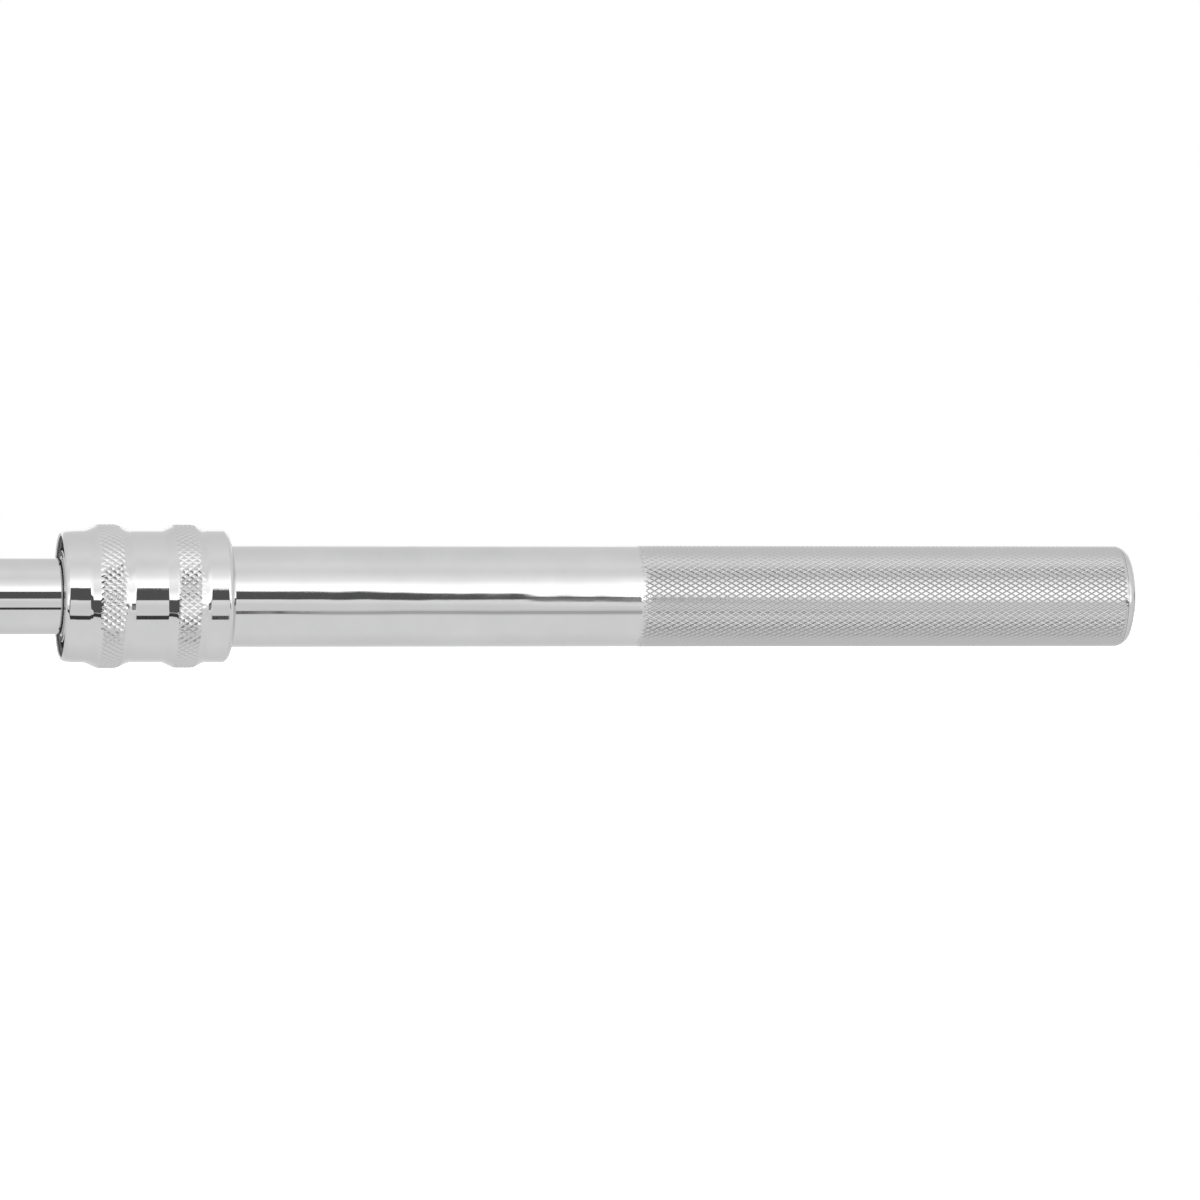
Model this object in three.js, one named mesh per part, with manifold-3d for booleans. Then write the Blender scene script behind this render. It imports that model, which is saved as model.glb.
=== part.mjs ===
// Extendable breaker bar, 1/2 in drive, with a pivoting head and a ball-locked sliding handle.
// Millimetres, +Z up. The bar lies along +X, the origin is the centre of the drive square's tip,
// and the head's pivot pin stands along +Z. Stored with the handle slid in and the lock released.

import * as THREE from 'three';
import { mergeVertices } from 'three/addons/utils/BufferGeometryUtils.js';
import Module from 'manifold-3d';

const wasm = await Module();
wasm.setup();

// ---------------------------------------------------------------- driving dimensions
const SEG = 36;                 // facets round every turned piece

// drive head
const SQUARE = 12.7;            // 1/2 in square drive, across flats
const SQUARE_LEN = 15.5;
const SHOULDER_R = 10.5;
const SHOULDER_END = 19.0;      // back face of the collar behind the square
const TONGUE_HALF_T = 6.4;      // tongue, half thickness
const TONGUE_R = 11.0;          // tongue, radius round the pin
const PIVOT_X = 33.0;

// fork
const SLOT_HALF = 6.75;
const SLOT_END = 45.0;
const EAR_R = 12.5;             // ears, radius round the pin and half width
const EAR_HALF_T = 15.0;        // outer faces of the ears
const PIN_R = 4.0;
const PIN_BORE_R = 4.09;

// inner bar
const BAR_R = 9.525;            // 3/4 in round bar
const TAIL_R = 7.0;

// handle; u is the distance behind the sleeve's mouth
const MOUTH = 337.8;
const TUBE_R = 12.7;            // 1 in tube
const TUBE_BORE_R = 11.05;
const TUBE_FRONT = 26.3;
const TUBE_BACK = 270.2;
const HANDLE_END = 272.2;
const BUSH_BORE_R = 9.7;

// ball lock
const BALL_R = 2.5;
const BALL_U = 20.0;
const BALL_OUT = 12.2;          // centre radius of the balls with the lock released
const GROOVE_PITCH = 38.1;      // 1 1/2 in between stops
const GROOVE_COUNT = 6;
const GROOVE_FLOOR_R = 8.5;
const GROOVE_ARC_R = 2.65;

// ---------------------------------------------------------------- helpers
function solid(geometry) {
  const g = geometry.clone();
  g.deleteAttribute('normal');
  g.deleteAttribute('uv');
  const merged = mergeVertices(g, 1e-4);
  const position = merged.attributes.position.array;
  const index = merged.index.array;
  const triangles = [];
  let volume = 0;
  const a = new THREE.Vector3(), b = new THREE.Vector3(), c = new THREE.Vector3();
  for (let i = 0; i < index.length; i += 3) {
    const [p, q, r] = [index[i], index[i + 1], index[i + 2]];
    if (p === q || q === r || r === p) continue;
    triangles.push(p, q, r);
    a.fromArray(position, 3 * p);
    b.fromArray(position, 3 * q);
    c.fromArray(position, 3 * r);
    volume += a.dot(b.cross(c)) / 6;
  }
  if (volume < 0) {
    for (let i = 0; i < triangles.length; i += 3) {
      [triangles[i], triangles[i + 1]] = [triangles[i + 1], triangles[i]];
    }
  }
  return new wasm.Manifold(new wasm.Mesh({
    numProp: 3,
    vertProperties: new Float32Array(position),
    triVerts: new Uint32Array(triangles),
  }));
}

// A profile of [x, r] pairs turned about the X axis. It starts and ends on the axis, or closes on itself.
function turned(profile, segments = SEG) {
  const pts = profile.map(([x, r]) => new THREE.Vector2(r, x));
  const onAxis = profile[0][1] === 0 && profile[profile.length - 1][1] === 0;
  if (!onAxis) pts.push(pts[0].clone());
  const g = new THREE.LatheGeometry(pts, segments);
  g.rotateZ(-Math.PI / 2);
  return solid(g);
}

// The same, placed behind the sleeve's mouth.
function turnedU(profile, segments = SEG) {
  return turned(profile.map(([u, r]) => [MOUTH + u, r]), segments);
}

function box(x0, x1, y0, y1, z0, z1) {
  const g = new THREE.BoxGeometry(x1 - x0, y1 - y0, z1 - z0);
  g.translate((x0 + x1) / 2, (y0 + y1) / 2, (z0 + z1) / 2);
  return solid(g);
}

function rodX(x0, x1, r, y = 0, z = 0, segments = 24) {
  const g = new THREE.CylinderGeometry(r, r, x1 - x0, segments);
  g.rotateZ(-Math.PI / 2);
  g.translate((x0 + x1) / 2, y, z);
  return solid(g);
}

function rodZ(z0, z1, r, x, y, segments = SEG) {
  const g = new THREE.CylinderGeometry(r, r, z1 - z0, segments);
  g.rotateX(Math.PI / 2);
  g.translate(x, y, (z0 + z1) / 2);
  return solid(g);
}

function ball(x, y, z, r, w = 12, h = 8) {
  const g = new THREE.SphereGeometry(r, w, h);
  g.translate(x, y, z);
  return solid(g);
}

// A plan outline in XY, extruded between two heights.
function plate(points, z0, z1) {
  const shape = new THREE.Shape(points.map(([x, y]) => new THREE.Vector2(x, y)));
  const g = new THREE.ExtrudeGeometry(shape, { depth: z1 - z0, bevelEnabled: false });
  g.translate(0, 0, z0);
  return solid(g);
}

class Helix extends THREE.Curve {
  constructor(start, end, radius, turns, place) {
    super();
    Object.assign(this, { start, end, radius, turns, place });
  }
  getPoint(t, target = new THREE.Vector3()) {
    // the end coils lie closed, as on a real compression spring
    const closed = 0.14;
    let s;
    if (t < closed) s = 0.35 * t;
    else if (t > 1 - closed) s = 1 - 0.35 * (1 - t);
    else s = 0.35 * closed + (t - closed) * (1 - 0.7 * closed) / (1 - 2 * closed);
    const angle = 2 * Math.PI * this.turns * t;
    const along = this.start + (this.end - this.start) * s;
    return target.copy(this.place(along, this.radius * Math.cos(angle), this.radius * Math.sin(angle)));
  }
}

// A coil spring whose outside ends are at from and to.
function spring(from, to, meanR, wireR, turns, place, perTurn = 12, sides = 6) {
  const shape = new THREE.Shape();
  for (let i = 0; i < sides; i++) {
    const a = 2 * Math.PI * i / sides;
    const [x, y] = [wireR * Math.cos(a), wireR * Math.sin(a)];
    if (i === 0) shape.moveTo(x, y); else shape.lineTo(x, y);
  }
  const curve = new Helix(from + wireR, to - wireR, meanR, turns, place);
  curve.arcLengthDivisions = 2000;
  const g = new THREE.ExtrudeGeometry(shape, {
    steps: Math.round(turns * perTurn), extrudePath: curve, bevelEnabled: false,
  });
  return solid(g);
}

const alongX = (a, b, c) => new THREE.Vector3(a, b, c);

// ---------------------------------------------------------------- finishes
const chrome = new THREE.MeshStandardMaterial({ color: 0xd4d6d8, roughness: 0.08, metalness: 1 });
const chromeSatin = new THREE.MeshStandardMaterial({ color: 0xc4c6c8, roughness: 0.25, metalness: 1 });
const steel = new THREE.MeshStandardMaterial({ color: 0xa8abae, roughness: 0.3, metalness: 1 });
const springSteel = new THREE.MeshStandardMaterial({ color: 0x6f7275, roughness: 0.35, metalness: 1 });
const blackOxide = new THREE.MeshStandardMaterial({ color: 0x141415, roughness: 0.4, metalness: 0.6 });
const bronze = new THREE.MeshStandardMaterial({ color: 0xb08a4a, roughness: 0.35, metalness: 1 });
const nitrile = new THREE.MeshStandardMaterial({ color: 0x17181a, roughness: 0.6, metalness: 0 });

const assembly = new THREE.Group();

function piece(name, manifold, material) {
  const m = manifold.getMesh();
  const xyz = new Float32Array(m.numVert * 3);
  for (let i = 0; i < m.numVert; i++) {
    for (let k = 0; k < 3; k++) xyz[3 * i + k] = m.vertProperties[i * m.numProp + k];
  }
  const g = new THREE.BufferGeometry();
  g.setAttribute('position', new THREE.BufferAttribute(xyz, 3));
  g.setIndex(new THREE.BufferAttribute(new Uint32Array(m.triVerts), 1));
  g.computeVertexNormals();
  const mesh = new THREE.Mesh(g, material);
  mesh.name = name;
  assembly.add(mesh);
  return mesh;
}

// ---------------------------------------------------------------- drive head
// Square drive, collar and tongue are one forging. The detent ball sits in the face toward -Y.
const DETENT_X = 7.0;
const DETENT_R = 2.38;
const DETENT_Y = -(SQUARE / 2) + 1.38;

{
  const h = SQUARE / 2, c = 0.9, tip = 0.8;
  const ring = (half, cut) => [
    [half, half - cut], [half - cut, half], [-half + cut, half], [-half, half - cut],
    [-half, -half + cut], [-half + cut, -half], [half - cut, -half], [half, -half + cut],
  ];
  // the square with its corners eased, standing along +X, its tip chamfered
  const shape = new THREE.Shape(ring(h - tip, c).map(([y, z]) => new THREE.Vector2(y, z)));
  const g = new THREE.ExtrudeGeometry(shape, {
    depth: SQUARE_LEN + 1 - tip, bevelEnabled: true, bevelThickness: tip, bevelSize: tip,
    bevelSegments: 1, steps: 1,
  });
  g.translate(0, 0, tip);
  g.rotateY(Math.PI / 2);
  const square = solid(g);

  const collar = turned([
    [SQUARE_LEN - 0.5, 0], [SQUARE_LEN - 0.5, SHOULDER_R - 1.2], [SQUARE_LEN + 0.7, SHOULDER_R],
    [SHOULDER_END - 0.6, SHOULDER_R], [SHOULDER_END, SHOULDER_R - 0.6], [SHOULDER_END, 0],
  ]);

  const outline = [[SHOULDER_END - 1.5, -TONGUE_R + 1.5], [SHOULDER_END + 3, -TONGUE_R]];
  for (let i = 0; i <= 24; i++) {
    const a = -Math.PI / 2 + Math.PI * i / 24;
    outline.push([PIVOT_X + TONGUE_R * Math.cos(a), TONGUE_R * Math.sin(a)]);
  }
  outline.push([SHOULDER_END + 3, TONGUE_R], [SHOULDER_END - 1.5, TONGUE_R - 1.5]);
  // nothing of the tongue may stand outside the collar where it leaves it
  const tongue = plate(outline, -TONGUE_HALF_T, TONGUE_HALF_T);

  const detentBore = (() => {
    const b = new THREE.CylinderGeometry(2.5, 2.5, 12, 24);
    b.translate(DETENT_X, -2.4, 0);
    return solid(b);
  })();

  const head = square.add(collar).add(tongue)
    .subtract(rodZ(-10, 10, PIN_BORE_R, PIVOT_X, 0))
    .subtract(detentBore);
  piece('drive_head', head, chrome);
}

piece('drive_detent_ball', ball(DETENT_X, DETENT_Y, 0, DETENT_R), steel);
piece('drive_detent_spring',
  spring(DETENT_Y + DETENT_R + 0.15, 3.45, 1.75, 0.3, 4.5,
    (a, b, c) => new THREE.Vector3(DETENT_X + b, a, c), 10, 5), springSteel);

// ---------------------------------------------------------------- inner bar with its fork
{
  const profile = [[PIVOT_X - EAR_R - 1, 0], [PIVOT_X - EAR_R - 1, 17.0], [49, 17.0]];
  const neckStart = 49, neckEnd = 74;
  for (let i = 1; i <= 8; i++) {
    const t = i / 8;
    const r = BAR_R + (17.0 - BAR_R) * (1 + Math.cos(Math.PI * t)) / 2;
    profile.push([neckStart + (neckEnd - neckStart) * t, r]);
  }
  // ring grooves, one for each stop of the handle
  for (let k = 0; k < GROOVE_COUNT; k++) {
    const centre = MOUTH + BALL_U + k * GROOVE_PITCH;
    const arcCentre = GROOVE_FLOOR_R + GROOVE_ARC_R;
    const half = Math.sqrt(GROOVE_ARC_R ** 2 - (arcCentre - BAR_R) ** 2);
    const limit = Math.asin(half / GROOVE_ARC_R);
    for (let i = 0; i <= 4; i++) {
      const a = -limit + 2 * limit * i / 4;
      profile.push([centre + GROOVE_ARC_R * Math.sin(a), arcCentre - GROOVE_ARC_R * Math.cos(a)]);
    }
  }
  profile.push(
    [MOUTH + 236.0, BAR_R], [MOUTH + 236.0, TAIL_R],
    [MOUTH + 248.5, TAIL_R], [MOUTH + 248.5, 6.2], [MOUTH + 249.8, 6.2], [MOUTH + 249.8, TAIL_R],
    [MOUTH + 251.2, TAIL_R], [MOUTH + 252.0, TAIL_R - 0.8], [MOUTH + 252.0, 0],
  );
  const turnedBar = turned(profile);

  const outline = [];
  for (let i = 0; i <= 16; i++) {
    const a = Math.PI / 2 + Math.PI * i / 16;
    outline.push([PIVOT_X + EAR_R * Math.cos(a), EAR_R * Math.sin(a)]);
  }
  outline.push([MOUTH + 260, -EAR_R], [MOUTH + 260, EAR_R]);
  const envelope = plate(outline, -EAR_HALF_T, EAR_HALF_T);

  const bar = turnedBar.intersect(envelope)
    .subtract(box(PIVOT_X - EAR_R - 5, SLOT_END, -20, 20, -SLOT_HALF, SLOT_HALF))
    .subtract(rodZ(-20, 20, PIN_BORE_R, PIVOT_X, 0))
    .subtract(rodX(SLOT_END - 1, 62, 3.15));
  piece('extension_bar', bar, chrome);
}

{
  const pin = new THREE.LatheGeometry([
    [0, -14.7], [PIN_R - 0.5, -14.7], [PIN_R, -14.2], [PIN_R, 14.2], [PIN_R - 0.5, 14.7], [0, 14.7],
  ].map(([r, z]) => new THREE.Vector2(r, z)), SEG);
  pin.rotateX(Math.PI / 2);
  pin.translate(PIVOT_X, 0, 0);
  piece('head_pin', solid(pin), steel);
}
piece('head_friction_ball', ball(PIVOT_X + TONGUE_R + 0.12 + 3.0, 0, 0, 3.0), steel);
piece('head_friction_spring',
  spring(PIVOT_X + TONGUE_R + 0.12 + 6.15, 61.8, 2.4, 0.45, 5.5, alongX, 10, 5), springSteel);

// guide bush on the bar's tail, and the clip that holds it
piece('tail_bush', turnedU([
  [236.2, TAIL_R + 0.1], [236.2, 10.5], [236.6, 10.87], [247.8, 10.87], [248.2, 10.5], [248.2, TAIL_R + 0.1],
]), bronze);
piece('tail_clip', turnedU([
  [248.65, 6.35], [248.65, 9.0], [249.65, 9.0], [249.65, 6.35],
]).subtract(box(MOUTH + 247, MOUTH + 251, -2.2, 2.2, 0, 12)), blackOxide);

// ---------------------------------------------------------------- handle
// The tube's back end is eased where the knurl runs out; the plug's head carries the round on.
{
  const tube = turnedU([
    [TUBE_FRONT, TUBE_BORE_R], [TUBE_FRONT, TUBE_R - 0.3], [TUBE_FRONT + 0.3, TUBE_R],
    [28.2, TUBE_R], [28.2, 12.2], [29.9, 12.2], [29.9, TUBE_R],
    [145.3, TUBE_R], [269.2, TUBE_R], [269.7, TUBE_R - 0.08], [TUBE_BACK, TUBE_R - 0.28],
    [TUBE_BACK, TUBE_BORE_R],
  ]);
  const pinHoles = rodZ(-14, 14, 1.6, MOUTH + 33.5, 0, 16);
  piece('handle_tube', tube.subtract(pinHoles), chrome);
}

piece('end_plug', turnedU([
  [257.5, 0], [257.5, 10.2], [258.2, 10.85], [270.35, 10.85], [270.35, 12.38],
  [270.9, 12.12], [271.5, 11.72], [271.95, 11.25], [HANDLE_END, 10.8], [HANDLE_END, 0],
]), chrome);

// Nose bush: bears on the bar, carries the balls, and its collar backs the sleeve's spring.
{
  const bush = turnedU([
    [0.76, BUSH_BORE_R + 0.3], [0.76, 11.2], [0.96, 11.4], [14.0, 11.4], [14.0, 14.2], [16.0, 14.2],
    [16.0, 12.7], [26.0, 12.7], [26.0, 10.82], [39.5, 10.82], [40.0, 10.4], [40.0, BUSH_BORE_R],
    [6.1, BUSH_BORE_R], [6.1, 10.62], [4.0, 10.62], [4.0, BUSH_BORE_R], [1.06, BUSH_BORE_R],
  ]);
  let cage = bush;
  for (let i = 0; i < 2; i++) {
    const g = new THREE.CylinderGeometry(2.66, 2.66, 40, 20);
    if (i === 1) g.rotateX(Math.PI / 2);
    g.translate(MOUTH + BALL_U, 0, 0);
    cage = cage.subtract(solid(g));
  }
  cage = cage.subtract(rodZ(-14, 14, 1.6, MOUTH + 33.5, 0, 16));
  piece('nose_bush', cage, chromeSatin);
}
piece('bush_pin_1', rodZ(10.0, 12.62, 1.5, MOUTH + 33.5, 0, 16), steel);
piece('bush_pin_2', rodZ(-12.62, -10.0, 1.5, MOUTH + 33.5, 0, 16), steel);

piece('wiper_ring', turnedU([
  [4.15, 9.75], [4.15, 10.5], [5.95, 10.5], [5.95, 9.75], [5.35, 9.58], [4.75, 9.58],
]), nitrile);

piece('stop_ring', turnedU([
  [28.3, 12.3], [28.3, 13.55], [29.8, 13.55], [29.8, 12.3],
]).subtract(box(MOUTH + 27, MOUTH + 31, 0, 16, -2.0, 2.0)), springSteel);

piece('sleeve_spring',
  spring(MOUTH + 3.15, MOUTH + 13.85, 13.2, 0.75, 4.25, alongX, 16, 6), springSteel);

piece('lock_ball_1', ball(MOUTH + BALL_U, 0, BALL_OUT, BALL_R), steel);
piece('lock_ball_2', ball(MOUTH + BALL_U, BALL_OUT, 0, BALL_R), steel);
piece('lock_ball_3', ball(MOUTH + BALL_U, 0, -BALL_OUT, BALL_R), steel);
piece('lock_ball_4', ball(MOUTH + BALL_U, -BALL_OUT, 0, BALL_R), steel);

// ---------------------------------------------------------------- locking sleeve
piece('sleeve_washer', turnedU([
  [2.2, 11.9], [2.2, 14.9], [3.0, 14.9], [3.0, 11.9],
]), steel);

{
  const outer = [
    [0, 15.5], [0.4, 15.75], [1.4, 16.15], [3.4, 16.5],
    [6.6, 16.53], [7.1, 16.75], [9.3, 17.8], [10.1, 17.9], [13.8, 17.9], [14.5, 17.75], [16.6, 16.8], [17.6, 16.45],
    [25.8, 16.45], [26.3, 16.75], [27.8, 17.62], [28.6, 17.82], [33.1, 17.82], [33.8, 17.62], [35.6, 16.7], [36.2, 16.52],
    [41.2, 16.52], [41.8, 16.3], [42.2, 15.8], [43.7, 13.15],
  ];
  const inner = [
    [43.7, 12.85], [36.0, 12.85], [36.0, 13.77], [26.5, 13.77], [18.5, 15.1], [2.1, 15.1],
    [2.1, 15.62], [1.05, 15.62], [1.05, 15.1], [0.3, 15.1],
  ];
  piece('lock_sleeve', turnedU([...outer, ...inner]), chrome);
}

// Internal snap ring in the sleeve's mouth: a C with an eye at each end for the pliers.
{
  let ring = turnedU([[1.15, 13.1], [1.15, 15.55], [1.95, 15.55], [1.95, 13.1]]);
  const lug = (angle) => {
    const [y, z] = [13.1 * Math.cos(angle), 13.1 * Math.sin(angle)];
    return rodX(MOUTH + 1.15, MOUTH + 1.95, 1.15, y, z, 24);
  };
  const eye = (angle) => {
    const [y, z] = [13.1 * Math.cos(angle), 13.1 * Math.sin(angle)];
    return rodX(MOUTH + 0, MOUTH + 3, 0.55, y, z, 12);
  };
  const mid = Math.PI * 0.5;
  const gap = box(MOUTH + 0, MOUTH + 3, -0.6, 0.6, 8, 17);
  ring = ring.add(lug(mid + 0.165)).add(lug(mid - 0.165)).subtract(gap)
    .subtract(eye(mid + 0.165)).subtract(eye(mid - 0.165));
  piece('sleeve_snap_ring', ring, blackOxide);
}

export default assembly;
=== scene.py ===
import math

import bmesh
import bpy
import numpy as np
from mathutils import Matrix, Vector


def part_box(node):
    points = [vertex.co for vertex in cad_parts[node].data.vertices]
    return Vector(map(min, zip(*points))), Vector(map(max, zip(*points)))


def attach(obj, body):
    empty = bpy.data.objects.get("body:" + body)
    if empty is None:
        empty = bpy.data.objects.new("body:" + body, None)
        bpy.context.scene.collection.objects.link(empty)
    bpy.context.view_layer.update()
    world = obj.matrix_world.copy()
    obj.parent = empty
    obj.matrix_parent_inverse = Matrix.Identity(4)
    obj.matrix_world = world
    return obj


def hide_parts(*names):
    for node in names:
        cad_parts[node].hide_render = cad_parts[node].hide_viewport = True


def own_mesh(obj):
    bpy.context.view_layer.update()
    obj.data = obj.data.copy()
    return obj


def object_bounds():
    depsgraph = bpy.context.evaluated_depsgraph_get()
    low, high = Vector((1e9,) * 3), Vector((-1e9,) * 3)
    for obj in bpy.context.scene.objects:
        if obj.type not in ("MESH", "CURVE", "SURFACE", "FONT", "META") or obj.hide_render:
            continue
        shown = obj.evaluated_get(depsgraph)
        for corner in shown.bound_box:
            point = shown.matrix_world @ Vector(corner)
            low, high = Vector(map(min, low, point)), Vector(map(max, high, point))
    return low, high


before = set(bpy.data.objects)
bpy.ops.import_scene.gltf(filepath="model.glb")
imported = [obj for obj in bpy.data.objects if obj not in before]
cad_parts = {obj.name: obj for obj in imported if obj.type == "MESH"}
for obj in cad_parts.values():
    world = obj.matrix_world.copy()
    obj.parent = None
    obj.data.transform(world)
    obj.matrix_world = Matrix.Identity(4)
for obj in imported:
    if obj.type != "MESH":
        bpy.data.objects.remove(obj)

LOW0, HIGH0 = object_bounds()

MM = 0.001
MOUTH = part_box("lock_sleeve")[0].x / MM        # the sleeve's mouth, mm along the bar
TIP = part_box("drive_head")[0].x / MM
PIVOT = TIP + 33.0
BAR_R = 9.525
TUBE_R = 12.7


# ------------------------------------------------------------------ materials
def nodes_of(mat):
    mat.use_nodes = True
    nt = mat.node_tree
    nt.nodes.clear()
    out = nt.nodes.new("ShaderNodeOutputMaterial")
    bsdf = nt.nodes.new("ShaderNodeBsdfPrincipled")
    nt.links.new(bsdf.outputs["BSDF"], out.inputs["Surface"])
    return nt, bsdf


def coords(nt, scale=(1, 1, 1)):
    tc = nt.nodes.new("ShaderNodeTexCoord")
    mp = nt.nodes.new("ShaderNodeMapping")
    mp.inputs["Scale"].default_value = scale
    nt.links.new(tc.outputs["Object"], mp.inputs["Vector"])
    return mp.outputs["Vector"]


def noise(nt, vec, scale, detail=3.0, rough=0.5, distortion=0.0):
    n = nt.nodes.new("ShaderNodeTexNoise")
    n.inputs["Scale"].default_value = scale
    n.inputs["Detail"].default_value = detail
    n.inputs["Roughness"].default_value = rough
    n.inputs["Distortion"].default_value = distortion
    nt.links.new(vec, n.inputs["Vector"])
    return n.outputs["Fac"]


def remap(nt, value, a, b, c, d, clamp=True):
    m = nt.nodes.new("ShaderNodeMapRange")
    m.clamp = clamp
    m.inputs["From Min"].default_value = a
    m.inputs["From Max"].default_value = b
    m.inputs["To Min"].default_value = c
    m.inputs["To Max"].default_value = d
    nt.links.new(value, m.inputs["Value"])
    return m.outputs["Result"]


def math_node(nt, op, a, b=None, clamp=False):
    m = nt.nodes.new("ShaderNodeMath")
    m.operation = op
    m.use_clamp = clamp
    for k, v in enumerate((a, b)):
        if v is None:
            continue
        if isinstance(v, (int, float)):
            m.inputs[k].default_value = v
        else:
            nt.links.new(v, m.inputs[k])
    return m.outputs[0]


def mix_rgb(nt, fac, a, b):
    m = nt.nodes.new("ShaderNodeMix")
    m.data_type = "RGBA"
    nt.links.new(fac, m.inputs["Factor"])
    for sock, v in ((m.inputs["A"], a), (m.inputs["B"], b)):
        if isinstance(v, tuple):
            sock.default_value = (*v, 1.0) if len(v) == 3 else v
        else:
            nt.links.new(v, sock)
    return m.outputs["Result"]


def bump(nt, height, distance, normal=None, strength=1.0):
    b = nt.nodes.new("ShaderNodeBump")
    b.inputs["Strength"].default_value = strength
    b.inputs["Distance"].default_value = distance
    nt.links.new(height, b.inputs["Height"])
    if normal is not None:
        nt.links.new(normal, b.inputs["Normal"])
    return b.outputs["Normal"]


def chrome(name, base=(0.60, 0.60, 0.605), rough=0.035, wave=0.00002, wave_scale=60.0,
           wave_stretch=(0.25, 1, 1), scratch=0.0000006, haze=0.02, grip=None):
    """Bright chrome plate: a mirror with the slight unevenness that polishing leaves, and fine hairlines. grip is
    (start, full, tone, roughness) along the bar, where the plate dulls over a rolled knurl."""
    mat = bpy.data.materials.new(name)
    nt, bsdf = nodes_of(mat)
    bsdf.inputs["Metallic"].default_value = 1.0
    # plate varies a little in tone
    tone = noise(nt, coords(nt), 90.0, 4.0, 0.55)
    dark = tuple(c * 0.965 for c in base)
    light = tuple(min(1.0, c * 1.02) for c in base)
    colour = mix_rgb(nt, remap(nt, tone, 0.3, 0.7, 0, 1), dark, light)
    cloud = noise(nt, coords(nt), 420.0, 5.0, 0.6)
    gloss = remap(nt, cloud, 0.35, 0.75, rough, rough + haze)
    waves = noise(nt, coords(nt, wave_stretch), wave_scale, 2.0, 0.45)
    if grip is not None:
        start, full, tone_rgb, grip_rough = grip
        tc = nt.nodes.new("ShaderNodeTexCoord")
        sx = nt.nodes.new("ShaderNodeSeparateXYZ")
        nt.links.new(tc.outputs["Object"], sx.inputs[0])
        ragged = math_node(nt, "MULTIPLY", math_node(nt, "SUBTRACT", noise(nt, coords(nt), 900.0, 2.0), 0.5), 0.002)
        at = remap(nt, math_node(nt, "ADD", sx.outputs["X"], ragged), start, full, 0, 1)
        colour = mix_rgb(nt, at, colour, tone_rgb)
        gloss = math_node(nt, "ADD", gloss, math_node(nt, "MULTIPLY", at, grip_rough - rough))
        fade = math_node(nt, "SUBTRACT", 1.0, math_node(nt, "MULTIPLY", at, 0.9))
        waves = math_node(nt, "MULTIPLY", waves, fade)
    nt.links.new(colour, bsdf.inputs["Base Color"])
    nt.links.new(gloss, bsdf.inputs["Roughness"])
    # long soft waves from the polishing belt, then hairlines round the axis
    n1 = bump(nt, waves, wave)
    hair = noise(nt, coords(nt, (1.0, 0.04, 0.04)), 9000.0, 3.0, 0.6)
    n2 = bump(nt, hair, scratch, n1)
    nt.links.new(n2, bsdf.inputs["Normal"])
    return mat


def steel(name, base, rough, grain=(1.0, 0.05, 0.05), grain_scale=7000.0, depth=0.0000015, tint=0.08):
    """Turned or ground steel with a fine tool lay and slightly mottled tone."""
    mat = bpy.data.materials.new(name)
    nt, bsdf = nodes_of(mat)
    bsdf.inputs["Metallic"].default_value = 1.0
    tone = noise(nt, coords(nt), 600.0, 5.0, 0.6)
    nt.links.new(mix_rgb(nt, remap(nt, tone, 0.3, 0.7, 0, 1), tuple(c * (1 - tint) for c in base), base), bsdf.inputs["Base Color"])
    lay = noise(nt, coords(nt, grain), grain_scale, 3.0, 0.6)
    nt.links.new(remap(nt, lay, 0.3, 0.7, rough * 0.8, rough * 1.25), bsdf.inputs["Roughness"])
    nt.links.new(bump(nt, lay, depth), bsdf.inputs["Normal"])
    return mat


def oxide(name):
    """Black oxide on spring steel: nearly black, satin, rubbed a little brighter in random patches."""
    mat = bpy.data.materials.new(name)
    nt, bsdf = nodes_of(mat)
    tone = noise(nt, coords(nt), 900.0, 5.0, 0.65)
    worn = remap(nt, tone, 0.62, 0.75, 0, 1)
    nt.links.new(mix_rgb(nt, worn, (0.012, 0.012, 0.013), (0.05, 0.05, 0.052)), bsdf.inputs["Base Color"])
    bsdf.inputs["Metallic"].default_value = 0.35
    nt.links.new(remap(nt, tone, 0.3, 0.7, 0.32, 0.5), bsdf.inputs["Roughness"])
    nt.links.new(bump(nt, tone, 0.000006), bsdf.inputs["Normal"])
    return mat


def nitrile(name):
    mat = bpy.data.materials.new(name)
    nt, bsdf = nodes_of(mat)
    tone = noise(nt, coords(nt), 1500.0, 4.0, 0.6)
    nt.links.new(mix_rgb(nt, tone, (0.012, 0.012, 0.013), (0.03, 0.03, 0.031)), bsdf.inputs["Base Color"])
    nt.links.new(remap(nt, tone, 0.3, 0.7, 0.5, 0.7), bsdf.inputs["Roughness"])
    nt.links.new(bump(nt, tone, 0.00001), bsdf.inputs["Normal"])
    return mat


CHROME_BAR = chrome("chrome_bar", wave=0.00004, wave_scale=70.0, wave_stretch=(0.12, 1, 1))
CHROME_TUBE = chrome("chrome_tube", wave=0.00016, wave_scale=60.0, wave_stretch=(0.5, 1, 1),
                     grip=((MOUTH + 144.9) * MM, (MOUTH + 147.5) * MM, (0.505, 0.505, 0.51), 0.10))
CHROME_SLEEVE = chrome("chrome_sleeve", wave=0.000008, wave_scale=120.0, wave_stretch=(1, 1, 1))
CHROME_END = chrome("chrome_end", base=(0.56, 0.56, 0.565), rough=0.15, wave=0.00001, wave_scale=120.0, wave_stretch=(1, 1, 1), haze=0.04)
CHROME_KNURL = chrome("chrome_knurl", base=(0.583, 0.583, 0.588), rough=0.20, wave=0.000004, wave_scale=300.0, wave_stretch=(1, 1, 1), haze=0.04)
# painted shade: the grip's groove faces get a darker chrome than the flats, standing in for the shade between the
# groove walls; the extra roughness is the duller plate
GROOVE_SHADE_CHROME = chrome("chrome_groove_painted_shade", base=(0.485, 0.485, 0.49), rough=0.24, wave=0.000004, wave_scale=300.0, wave_stretch=(1, 1, 1), haze=0.08)
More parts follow.
